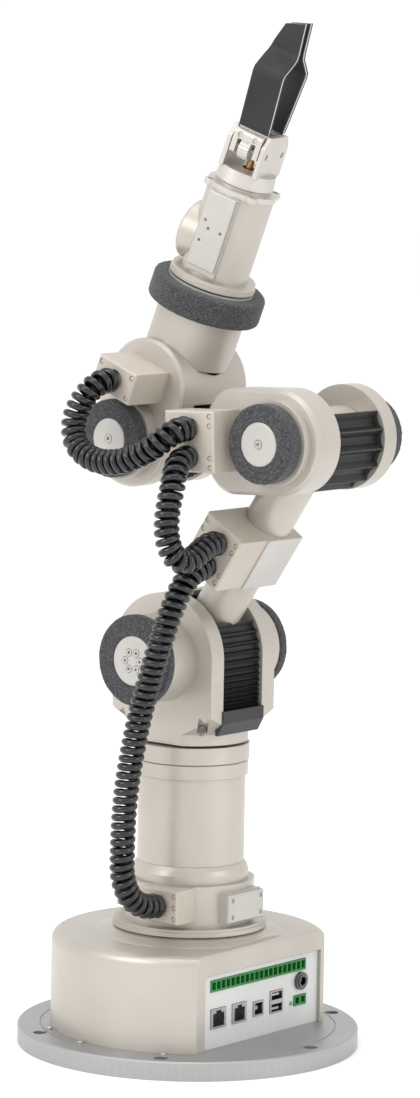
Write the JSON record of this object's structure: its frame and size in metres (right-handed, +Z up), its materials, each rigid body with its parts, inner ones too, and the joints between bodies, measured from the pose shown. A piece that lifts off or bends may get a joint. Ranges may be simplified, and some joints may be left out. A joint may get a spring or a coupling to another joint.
{
  "type": "desktop robot arm",
  "caption": "Desktop robot arm: round base with a connector panel, turning column, pitching shoulder, elbow and wrist joints, a rolling hand, coiled leads and a two-finger gripper.",
  "frame": {"origin": "centre of the base plate's underside, on the base yaw axis", "axes": "+Z up along the base yaw axis, +X the way the connector panel faces and the upper arm leans, pitch axes along Y"},
  "size_m": [0.2634, 0.243, 0.7228],
  "materials": {
    "painted": "satin",
    "plate": "satin",
    "panel": "matte",
    "box": "matte",
    "terminal": "matte",
    "steel": "satin",
    "lamp": "gloss",
    "board": "matte",
    "motor": "satin",
    "foam": "matte",
    "bellows": "satin",
    "lead": "gloss",
    "brass": "satin",
    "gripper": "satin",
    "blade": "satin",
    "pad": "matte"
  },
  "bodies": {
    "base": {"base_plate": "plate", "base_housing": "painted", "connector_panel": "panel", "terminal_blocks": "terminal", "network_jacks": "steel", "usb_sockets": "steel", "power_jack": "steel", "status_lamp": "lamp", "controller_board": "board", "base_screws": "steel", "column_collar": "painted", "base_cable_box": "box", "collar_covers": "painted", "column_tube": "painted", "column_rings": "painted", "yaw_motor": "motor", "lead_base_lower": "lead"},
    "turret": {"turret_housing": "painted", "turret_chin": "bellows", "shoulder_motor": "motor", "shoulder_bellows": "bellows", "shoulder_foam_pads": "foam", "shoulder_caps": "painted", "shoulder_cap_screws": "steel", "turret_screws": "steel", "lead_base_upper": "lead"},
    "upper_arm": {"upper_arm_casting": "painted", "upper_cable_box": "box", "upper_box_plate": "painted", "lead_upper_arm": "lead"},
    "forearm": {"elbow_housing": "painted", "elbow_motor": "motor", "forearm_link": "painted", "elbow_bellows": "bellows", "elbow_foam_pads": "foam", "elbow_caps": "painted", "elbow_cap_screws": "steel", "forearm_cable_box": "box", "lead_forearm": "lead"},
    "hand": {"wrist_housing": "painted", "wrist_motor": "motor", "wrist_bellows": "bellows", "wrist_foam_pads": "foam", "wrist_caps": "painted", "wrist_cap_screws": "steel", "wrist_cable_box": "box", "hand_tube": "painted", "hand_foam_ring": "foam"},
    "gripper": {"roll_barrel": "painted", "barrel_cover_plate": "painted", "barrel_ring": "gripper", "gripper_motor": "motor", "gripper_body": "gripper"},
    "worm": {"worm": "brass"},
    "finger_right": {"finger_carrier_right": "gripper", "finger_blade_right": "blade", "finger_pads_right": "pad"},
    "finger_left": {"finger_carrier_left": "gripper", "finger_blade_left": "blade", "finger_pads_left": "pad"}
  },
  "joints": [
    {"name": "base_yaw", "type": "hinge", "parent": "base", "child": "turret", "pos_m": [0, 0, 0.2177], "axis": [0, 0, 1], "range_deg": [-169.5, 169.5], "deforming": ["lead_base_upper", "lead_base_lower"]},
    {"name": "shoulder_pitch", "type": "hinge", "parent": "turret", "child": "upper_arm", "pos_m": [0, 0, 0.2806], "axis": [0, 1, 0], "range_deg": [-50, 40], "deforming": ["shoulder_bellows", "lead_base_upper", "lead_upper_arm"]},
    {"name": "elbow_pitch", "type": "hinge", "parent": "upper_arm", "child": "forearm", "pos_m": [0.10542, 0, 0.43867], "axis": [0, 1, 0], "range_deg": [0, 140], "deforming": ["elbow_bellows", "lead_upper_arm", "lead_forearm"]},
    {"name": "wrist_pitch", "type": "hinge", "parent": "forearm", "child": "hand", "pos_m": [-0.03346, 0, 0.43285], "axis": [0, 1, 0], "range_deg": [-150, 0], "deforming": ["wrist_bellows", "lead_forearm"]},
    {"name": "gripper_roll", "type": "hinge", "parent": "hand", "child": "gripper", "pos_m": [0.01054, 0, 0.54342], "axis": [0.3697, 0, 0.9291], "range_deg": [-179.5, 156.5]},
    {"name": "finger_right_hinge", "type": "hinge", "parent": "gripper", "child": "finger_right", "pos_m": [0.04539, 0.01127, 0.63718], "axis": [-0.9105, -0.1994, 0.3623], "range_deg": [-0.6, 40]},
    {"name": "finger_left_hinge", "type": "hinge", "parent": "gripper", "child": "finger_left", "pos_m": [0.04965, -0.01127, 0.63548], "axis": [-0.9105, -0.1994, 0.3623], "range_deg": [-40.1, 0.7]},
    {"name": "worm_spin", "type": "hinge", "parent": "gripper", "child": "worm", "pos_m": [0.04752, 0, 0.63633], "axis": [0.3697, 0, 0.9291], "range_deg": [-11, 721]}
  ],
  "couplings": [
    {"joint": "finger_left_hinge", "follows": "finger_right_hinge", "ratio": -1},
    {"joint": "worm_spin", "follows": "finger_right_hinge", "ratio": 18}
  ]
}
